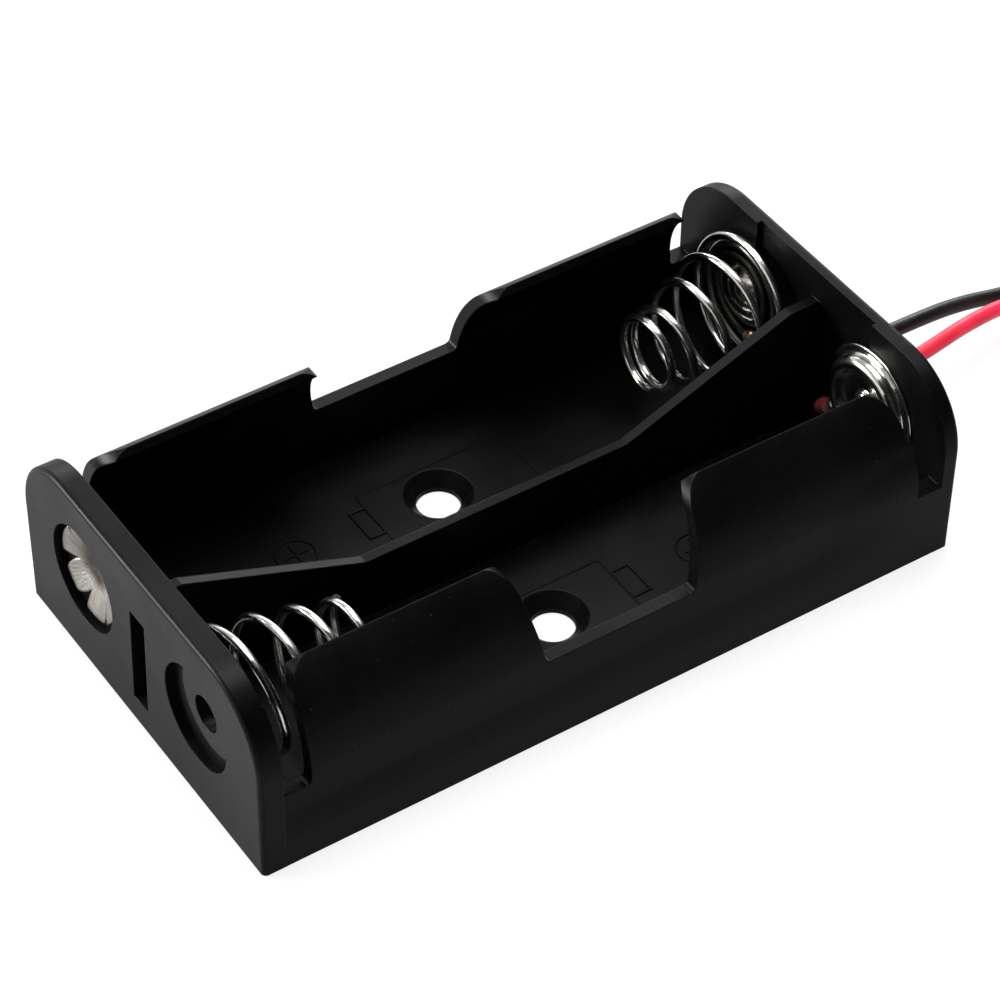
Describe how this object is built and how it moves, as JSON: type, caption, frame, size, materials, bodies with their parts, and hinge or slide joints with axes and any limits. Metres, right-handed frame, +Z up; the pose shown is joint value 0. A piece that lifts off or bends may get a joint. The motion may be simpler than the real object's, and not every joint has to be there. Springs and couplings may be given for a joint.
{
  "type": "cylindrical cell holder",
  "caption": "Open black tray that holds cylindrical cells side by side and joins them in series, with spring and rivet contacts, countersunk screw holes and flying leads.",
  "frame": {"origin": "middle of the tray's underside", "axes": "+X along the cells towards the leads, +Y across the cells, +Z up out of the open side"},
  "size_m": [0.1027, 0.0364, 0.015],
  "materials": {
    "tray": "satin moulded",
    "spring_wire": "bright nickel-plated steel wire",
    "contact_plate": "nickel-plated sheet steel",
    "solder": "dull bright tin",
    "copper_strands": "tinned and bare copper",
    "black_insulation": "soft satin",
    "red_insulation": "soft satin"
  },
  "bodies": {
    "root": {"housing": "tray", "series_spring": "spring_wire", "series_button": "contact_plate", "negative_spring": "spring_wire", "negative_rivet": "contact_plate", "positive_button": "contact_plate", "black_lead_entry": "black_insulation", "black_strands": "copper_strands", "negative_solder": "solder", "red_lead_entry": "red_insulation", "red_strands": "copper_strands", "positive_solder": "solder", "black_lead": "black_insulation", "black_lead_coil": "black_insulation", "black_lead_tip": "solder", "red_lead": "red_insulation", "red_lead_coil": "red_insulation", "red_lead_tip": "solder"}
  },
  "joints": []
}
